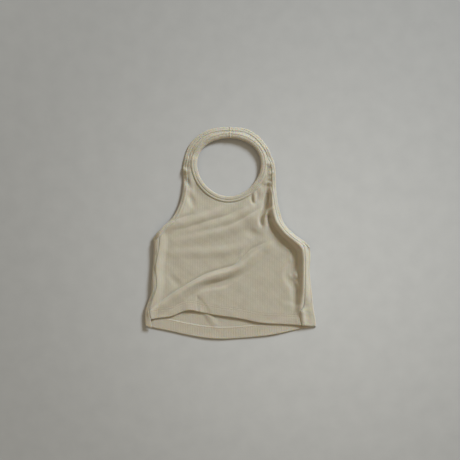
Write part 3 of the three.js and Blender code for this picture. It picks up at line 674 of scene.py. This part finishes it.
def side_turn(table, y, sign, over, around):
    """The way round one side, from its seam over to the fold and under to the flat part: x and z."""
    seam, fold, radius = np.moveaxis(table(y), -1, 0)
    turn = fold - sign * radius
    start, _ = cloth.at(seam, y)
    base = WALL / 2 + 2 * radius
    lift = start[..., 2] - base
    start_x = start[..., 0] + sign * SEAM_GAP / 2
    x_over = start_x + (turn - start_x) * over
    z_over = base + lift * (1 - over * over * (1.7 - 0.7 * over))
    x_round = turn + sign * radius * np.sin(math.pi * around)
    z_round = WALL / 2 + radius + radius * np.cos(math.pi * around)
    return np.where(around > 0, x_round, x_over), np.where(around > 0, z_round, z_over)


def back_place(y, flat_x):
    """Where the back lies: the columns that turn round the left side, the flat ones, and the right side's."""
    inner = OVER + AROUND
    i = np.arange(inner + 1)
    over, around = np.clip(i / OVER, 0, 1)[None], np.clip((i - OVER) / AROUND, 0, 1)[None]
    left_x, left_z = side_turn(left_side, y[:, : inner + 1], -1, over, around)
    right_x, right_z = side_turn(right_side, y[:, : -inner - 2 : -1], 1, over, around)
    for side_x, side_z, side_y in ((left_x, left_z, y[:, : inner + 1]),
                                       (right_x, right_z, y[:, : -inner - 2 : -1])):
        side_z += np.where(around > 0, 0, sum(fold_lift(fold, side_x, side_y)[2] for fold in SIDE_FOLDS))
    flat_y = y[:, inner + 1 : -inner - 1]
    edge_left, edge_right = left_x[:, -1:], right_x[:, -1:]
    calm = 92.0
    beyond = np.clip((np.abs(flat_x) - calm) / (flat_x[-1] + 2.4 - calm), 0, 1)[None]
    side_edge = np.where(flat_x[None] < 0, edge_left, edge_right)
    x = np.where(beyond > 0, np.sign(flat_x)[None] * calm * (1 - beyond) + side_edge * beyond, flat_x[None])
    lift = sum(fold_lift(fold, x, flat_y)[2] for fold in BACK_FOLDS)
    z = np.broadcast_to(WALL / 2, x.shape) + lift
    return (np.hstack([left_x, x, right_x[:, ::-1]]), np.hstack([left_z, z, right_z[:, ::-1]]))


def back_cloth():
    flat_x = rib_columns(108.0)
    flat_x = flat_x[np.abs(flat_x) <= 108.5]
    inner = OVER + AROUND
    count = 2 * (inner + 1) + len(flat_x)
    hem_rows = np.array([0, 0.12, 0.4, 0.9, 1.6, 3, 5, 7, 9, 11, 13, 14.4, 15, 15.5, 16, 16.5, 17, 17.3, 17.6,
                         18, 18.8])
    rest = np.linspace(0, 1, 84)[1:]
    is_flat = np.zeros(count, bool)
    is_flat[inner + 1 : -inner - 1] = True

    # Where the back turns over the left side its hem lies on itself, and over the right side it runs
    # straight on from the front's hem to the corner
    guess_x, _ = back_place(np.full((1, count), -140.0), flat_x)
    from_left, from_right = np.arange(count), np.arange(count)[::-1]
    under = np.where(from_left < from_right, 1, smooth_step((from_right - OVER) / AROUND))
    bottom = front_hem_y(guess_x[0]) * (1 - under) + back_hem_y(guess_x[0]) * under
    s = np.vstack([
        np.repeat(hem_rows[:, None], count, 1),
        hem_rows[-1] + (BACK_TOP - bottom - hem_rows[-1])[None] * rest[:, None],
    ])
    y = bottom[None] + s
    x, z = back_place(y, flat_x)

    dx, dz = np.gradient(x, axis=1), np.gradient(z, axis=1)
    length = np.hypot(dx, dz)
    out = np.stack([dz / length, np.zeros_like(x), -dx / length], -1)

    left_limit = left_armhole[0] + left_armhole[1] * (BINDING_WIDTH - 1.5)
    right_limit = right_armhole[0] + right_armhole[1] * (BINDING_WIDTH - 1.5)
    left_part = left_limit[left_limit[:, 0] < -98]
    right_part = right_limit[right_limit[:, 0] > 101]
    outline = np.vstack([
        [[-REACH_X, -REACH_Y], [REACH_X, -REACH_Y], [REACH_X, right_part[0, 1]]],
        right_part,
        left_part[::-1],
        [[-REACH_X, left_part[0, 1]]],
    ])
    keep = inside(outline, x, y)

    cut_x = np.cumsum(length, axis=1)
    middle_column = inner + 1 + int(np.argmin(np.abs(flat_x)))
    cut_x = cut_x - cut_x[:, middle_column][:, None]
    nose = np.sqrt(np.clip(1 - (1 - np.clip(s / HEM_NOSE, 0, 1)) ** 2, 0, 1))
    in_hem = 1 - smooth_step((s - BACK_HEM_DEPTH) / 0.5)
    hem_layer = in_hem * np.where(is_flat, WALL, 0)[None]
    inner_ribs = rib_relief(cut_x) * (0.6 + 0.6 * in_hem)
    stitches = groove(s - (BACK_HEM_DEPTH - 1.8), 0.5, 0.2)
    beside_seam = np.minimum(cut_x - cut_x[:, :1], cut_x[:, -1:] - cut_x)
    outer = -0.6 * WALL + (1.1 * WALL + rib_relief(cut_x) + groove(beside_seam, 0.7, 0.4)) * nose
    within = -0.6 * WALL + (1.1 * WALL + inner_ribs + hem_layer + stitches) * nose
    settle = np.where(is_flat, 0.1 * WALL, 0)[None]
    outer_points = np.stack([x, y, z], -1) + out * outer[..., None]
    inner_points = np.stack([x, y, z + settle], -1) - out * within[..., None]
    outer_points[..., 2] = np.maximum(outer_points[..., 2], 0.0)
    return shell("back_cloth", inner_points, outer_points, keep, np.stack([cut_x, y], -1))


def back_hem_threads():
    """The threads that cover the raw edge of the back's hem, on its inside."""
    rows = []
    for number, s in enumerate((BACK_HEM_DEPTH - 1.8, BACK_HEM_DEPTH - 0.3)):
        x = np.arange(-100.0, 92.0, 0.8)
        y = back_hem_y(x) + s
        lift = sum(fold_lift(fold, x, y)[2] for fold in BACK_FOLDS)
        points = np.stack([x, y, WALL / 2 + lift + 1.5 * WALL], -1)
        out = np.broadcast_to(np.array([0.0, 0.0, 1.0]), points.shape)
        rows.append(thread_row(f"back_hem_thread_{number + 1}", points, out, 2.4, 0.5, 0.55))
    return rows


# Bindings

def binding_section(width, thickness, groove_at, groove_depth):
    """Across a folded strip, from its seam over to its folded edge and back underneath, as distances from the
    seam and heights over the cloth. The second part of the loop is the inside of the fold."""
    h, g, d = thickness / 2, groove_at, groove_depth
    outside = [
        (0.0, 0.35 * h), (0.03, 0.64 * h), (0.08, 0.88 * h), (0.15, 1.0 * h), (g - 0.11, 1.03 * h),
        (g - 0.06, 0.98 * h), (g - 0.025, 0.92 * h - d * 0.6), (g, 0.9 * h - d),
        (g + 0.025, 0.92 * h - d * 0.6),
        (g + 0.06, 0.98 * h), (g + 0.12, 1.04 * h), (0.66, 1.06 * h), (0.78, 1.02 * h), (0.88, 0.87 * h),
        (0.95, 0.57 * h), (0.99, 0.22 * h), (1.0, -0.12 * h), (0.975, -0.5 * h), (0.92, -0.78 * h),
        (0.8, -0.96 * h), (0.6, -h), (0.3, -h), (0.08, -0.96 * h), (0.0, -0.85 * h),
    ]
    inner = h - STRIP_WALL
    turn = 1 - STRIP_WALL / width
    inside_of_fold = [
        (0.0, -0.9 * inner), (0.3, -inner), (0.6, -inner), (turn - 0.06, -0.7 * inner), (turn, 0.0),
        (turn - 0.06, 0.7 * inner), (0.6, inner), (0.3, inner), (0.0, 0.9 * inner),
    ]
    section = np.array(outside + inside_of_fold)
    return section * np.array([width, 1.0]), len(outside)


def pucker(along):
    """The small unevenness of a strip between its stitches."""
    return 0.5 * np.sin(along / 2.9 + 1.7 * np.sin(along / 17.0)) + 0.5 * np.sin(along / 6.3 + 2.0)


def binding(name, edge, width, thickness, groove_at, groove_depth, closed):
    """The strip and the row of stitches in its groove."""
    points, inward, along = edge
    section, outside = binding_section(width, thickness, groove_at, 0.0)
    grooved, _ = binding_section(width, thickness, groove_at, groove_depth)
    across = section[:, 0]
    flat = points[:, None] + inward[:, None] * (width - across)[None, :, None]
    middle, out = cloth.at(flat[..., 0], flat[..., 1])

    # The groove is soft where the strap rolls over the strip, behind the neck and on the left
    x, y = points[:, 0], points[:, 1]
    rolled = smooth_step((y - 66) / 40) if not closed else np.exp(-(np.hypot(x + 42, y - 126) / 17.0) ** 4)
    show = (1 - 0.85 * rolled)[:, None]
    height = section[None, :, 1] * (1 - show) + grooved[None, :, 1] * show
    upper = np.arange(len(section)) < outside - 6
    ribs = rib_relief(along)[:, None] * np.where(upper, 0.8, 0)
    swell = 1 + 0.05 * pucker(along)[:, None] * upper
    lift = height * swell + ribs + join_relief(flat[..., 0], flat[..., 1]) * upper
    if closed:
        lift = lift - 0.9 * rolled[:, None]
    sections = middle + out * lift[..., None]
    sections[..., 2] = np.maximum(sections[..., 2], 0.05)
    loop = np.concatenate([[0], np.cumsum(np.hypot(*np.diff(section, axis=0).T))])
    cut = np.stack(np.broadcast_arrays(along[:, None], loop[None]), -1)
    strip = tube(name + "_cloth", sections, cut, closed)

    groove_point = 7
    line = middle[:, groove_point] + out[:, groove_point] * (lift[:, groove_point, None] - 0.05)
    if not closed:
        shown = (y < 76) & (along > 6)
        line, line_out = line[shown], out[:, groove_point][shown]
    else:
        line_out = out[:, groove_point]
    threads = thread_row(name + "_thread", line, line_out, 2.3, 0.9, 0.4)
    return strip, threads


# Materials

def knit_material(name, base, dark, along_x):
    """A fine cotton rib: small loops, soft mottling, and light that goes a little way into the yarn."""
    material = bpy.data.materials.new(name)
    material.use_nodes = True
    nodes, links = material.node_tree.nodes, material.node_tree.links
    shader = nodes["Principled BSDF"]
    shader.inputs["Roughness"].default_value = 0.92
    shader.inputs["Specular IOR Level"].default_value = 0.18
    shader.inputs["Sheen Weight"].default_value = 0.25
    shader.inputs["Sheen Roughness"].default_value = 0.5
    shader.inputs["Sheen Tint"].default_value = (1.0, 0.96, 0.88, 1)
    shader.inputs["Subsurface Weight"].default_value = 0.55
    shader.inputs["Subsurface Radius"].default_value = (1.0, 0.58, 0.26)
    shader.inputs["Subsurface Scale"].default_value = 0.0036

    where = nodes.new("ShaderNodeUVMap")
    where.uv_map = "cut"

    def wave(direction, pitch_mm, profile, turn):
        # One wave of this texture takes 2 pi / 20 of a unit
        node = nodes.new("ShaderNodeTexWave")
        node.wave_type = "BANDS"
        node.bands_direction = direction
        node.wave_profile = profile
        node.inputs["Scale"].default_value = 2 * math.pi / 20 / (pitch_mm * MM)
        node.inputs["Distortion"].default_value = 0.6
        node.inputs["Detail"].default_value = 1.0
        node.inputs["Detail Scale"].default_value = 1.5
        node.inputs["Phase Offset"].default_value = turn
        links.new(where.outputs["UV"], node.inputs["Vector"])
        return node

    wales = wave("X" if along_x else "Y", 1.2, "SIN", 0.0)
    courses = wave("Y" if along_x else "X", 0.85, "SIN", 0.4)
    loops = nodes.new("ShaderNodeMath")
    loops.operation = "MULTIPLY"
    links.new(wales.outputs["Fac"], loops.inputs[0])
    links.new(courses.outputs["Fac"], loops.inputs[1])

    mottle = nodes.new("ShaderNodeTexNoise")
    mottle.inputs["Scale"].default_value = 60.0
    mottle.inputs["Detail"].default_value = 3.0
    links.new(where.outputs["UV"], mottle.inputs["Vector"])
    fuzz = nodes.new("ShaderNodeTexNoise")
    fuzz.inputs["Scale"].default_value = 1800.0
    fuzz.inputs["Detail"].default_value = 2.0
    links.new(where.outputs["UV"], fuzz.inputs["Vector"])

    tone = nodes.new("ShaderNodeMix")
    tone.data_type = "FLOAT"
    tone.inputs["Factor"].default_value = 0.45
    links.new(loops.outputs[0], tone.inputs["A"])
    links.new(mottle.outputs["Fac"], tone.inputs["B"])
    ramp = nodes.new("ShaderNodeValToRGB")
    ramp.color_ramp.elements[0].position = 0.12
    ramp.color_ramp.elements[0].color = (*dark, 1)
    ramp.color_ramp.elements[1].position = 0.75
    ramp.color_ramp.elements[1].color = (*base, 1)
    links.new(tone.outputs["Result"], ramp.inputs["Fac"])
    links.new(ramp.outputs["Color"], shader.inputs["Base Color"])

    height = nodes.new("ShaderNodeMath")
    height.operation = "MULTIPLY_ADD"
    height.inputs[1].default_value = 0.35
    links.new(fuzz.outputs["Fac"], height.inputs[0])
    links.new(loops.outputs[0], height.inputs[2])
    bump = nodes.new("ShaderNodeBump")
    bump.inputs["Strength"].default_value = 0.55
    bump.inputs["Distance"].default_value = 0.00022
    links.new(height.outputs[0], bump.inputs["Height"])
    links.new(bump.outputs["Normal"], shader.inputs["Normal"])
    return material


def thread_material():
    """Spun sewing thread: two plies that wind round each other."""
    material = bpy.data.materials.new("sewing_thread")
    material.use_nodes = True
    nodes, links = material.node_tree.nodes, material.node_tree.links
    shader = nodes["Principled BSDF"]
    shader.inputs["Roughness"].default_value = 0.75
    shader.inputs["Specular IOR Level"].default_value = 0.3
    where = nodes.new("ShaderNodeTexCoord")
    plies = nodes.new("ShaderNodeTexNoise")
    plies.inputs["Scale"].default_value = 2500.0
    links.new(where.outputs["Object"], plies.inputs["Vector"])
    ramp = nodes.new("ShaderNodeValToRGB")
    ramp.color_ramp.elements[0].color = (0.56, 0.5, 0.4, 1)
    ramp.color_ramp.elements[1].color = (0.7, 0.64, 0.53, 1)
    links.new(plies.outputs["Fac"], ramp.inputs["Fac"])
    links.new(ramp.outputs["Color"], shader.inputs["Base Color"])
    bump = nodes.new("ShaderNodeBump")
    bump.inputs["Strength"].default_value = 0.4
    bump.inputs["Distance"].default_value = 0.0001
    links.new(plies.outputs["Fac"], bump.inputs["Height"])
    links.new(bump.outputs["Normal"], shader.inputs["Normal"])
    return material


KNIT = knit_material("rib_knit", (0.62, 0.583, 0.505), (0.52, 0.478, 0.4), True)
THREAD = thread_material()
BINDING_KNIT = knit_material("rib_binding", (0.62, 0.585, 0.508), (0.52, 0.48, 0.403), False)


def finish_piece(piece, material, node=None):
    piece.data.materials.append(material)
    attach(piece, "root")
    if node:
        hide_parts(node)
    return piece


def finish_sheet(piece, material, node, threads):
    finish_piece(piece, material, node)
    for thread in threads:
        finish_piece(thread, THREAD)


finish_sheet(back_cloth(), KNIT, "back", back_hem_threads())
finish_sheet(front_cloth(), KNIT, "front", front_hem_threads())
STRIPS = [
    ("neckband", neck, NECKBAND_WIDTH, NECKBAND_THICKNESS, NECKBAND_GROOVE_AT, 0.45, True),
    ("armhole_binding_left", left_armhole, BINDING_WIDTH, BINDING_THICKNESS, BINDING_GROOVE_AT, 0.4, False),
    ("armhole_binding_right", right_armhole, BINDING_WIDTH, BINDING_THICKNESS, BINDING_GROOVE_AT, 0.4, False),
]
for node, *measures in STRIPS:
    strip, stitches = binding(node, *measures)
    finish_sheet(strip, BINDING_KNIT, node, [stitches])


# Table, light and camera

def add_table():
    mesh = bpy.data.meshes.new("table")
    half = 2.0
    mesh.from_pydata([(-half, -half, 0), (half, -half, 0), (half, half, 0), (-half, half, 0)], [], [(0, 1, 2, 3)])
    table = bpy.data.objects.new("table", mesh)
    bpy.context.collection.objects.link(table)
    material = bpy.data.materials.new("table")
    material.use_nodes = True
    nodes, links = material.node_tree.nodes, material.node_tree.links
    shader = nodes["Principled BSDF"]
    shader.inputs["Roughness"].default_value = 0.85
    shader.inputs["Specular IOR Level"].default_value = 0.2
    speckle = nodes.new("ShaderNodeTexNoise")
    speckle.inputs["Scale"].default_value = 40.0
    speckle.inputs["Detail"].default_value = 8.0
    ramp = nodes.new("ShaderNodeValToRGB")
    ramp.color_ramp.elements[0].position = 0.3
    ramp.color_ramp.elements[0].color = (0.555, 0.568, 0.588, 1)
    ramp.color_ramp.elements[1].position = 0.7
    ramp.color_ramp.elements[1].color = (0.585, 0.598, 0.618, 1)
    where = nodes.new("ShaderNodeTexCoord")
    links.new(where.outputs["Object"], speckle.inputs["Vector"])
    links.new(speckle.outputs["Fac"], ramp.inputs["Fac"])

    # Painted light: the table's colour is paler round a spot to the right of the garment, a pool of light painted
    # into the table
    from_painted_pool = nodes.new("ShaderNodeVectorMath")
    from_painted_pool.operation = "DISTANCE"
    from_painted_pool.inputs[1].default_value = (0.12, -0.06, 0.0)
    links.new(where.outputs["Object"], from_painted_pool.inputs[0])
    painted_light_pool = nodes.new("ShaderNodeMapRange")
    painted_light_pool.interpolation_type = "SMOOTHSTEP"
    painted_light_pool.inputs["From Min"].default_value = 0.0
    painted_light_pool.inputs["From Max"].default_value = 0.55
    painted_light_pool.inputs["To Min"].default_value = 1.06
    painted_light_pool.inputs["To Max"].default_value = 0.72
    links.new(from_painted_pool.outputs["Value"], painted_light_pool.inputs["Value"])
    colour_with_painted_pool = nodes.new("ShaderNodeVectorMath")
    colour_with_painted_pool.operation = "SCALE"
    links.new(ramp.outputs["Color"], colour_with_painted_pool.inputs[0])
    links.new(painted_light_pool.outputs["Result"], colour_with_painted_pool.inputs["Scale"])
    # The speckled colour, brightened near the spot and darkened away from it by the painted pool of light
    links.new(colour_with_painted_pool.outputs["Vector"], shader.inputs["Base Color"])
    mesh.materials.append(material)


def add_light(data, location, aim, power, colour):
    data.energy = power
    data.color = colour
    light = bpy.data.objects.new(data.name, data)
    bpy.context.collection.objects.link(light)
    light.location = location
    light.rotation_euler = (Vector(aim) - Vector(location)).to_track_quat("-Z", "Y").to_euler()


def add_lights():
    """A soft window to the upper right."""
    window = bpy.data.lights.new("window", "AREA")
    window.shape = "DISK"
    window.size = 1.5
    azimuth, height, distance = math.radians(48), math.radians(31.5), 5.0
    reach = distance * math.cos(height)
    place = (reach * math.cos(azimuth), reach * math.sin(azimuth), distance * math.sin(height))
    watts, daylight = 222, (0.9, 0.965, 1.0)
    add_light(window, place, (0, 0, 0), watts, daylight)


def add_camera():
    """Straight above the garment. The photograph's 460 pixels span 690 millimetres of the table."""
    distance = 1.6
    span = 0.69
    data = bpy.data.cameras.new("camera")
    data.sensor_width = 36
    data.lens = data.sensor_width * distance / span
    camera = bpy.data.objects.new("camera", data)
    bpy.context.collection.objects.link(camera)
    camera.location = (-0.0008, 0.0045, distance)
    bpy.context.scene.camera = camera


add_table()
add_lights()
add_camera()

# The light that the room gives back all round.
room_colour = (1.0, 0.85, 0.61, 1)
room_strength = 0.35
world = bpy.data.worlds.new("room")
bpy.context.scene.world = world
world.use_nodes = True
world.node_tree.nodes["Background"].inputs["Color"].default_value = room_colour
world.node_tree.nodes["Background"].inputs["Strength"].default_value = room_strength
bpy.context.scene.view_settings.view_transform = "Standard"
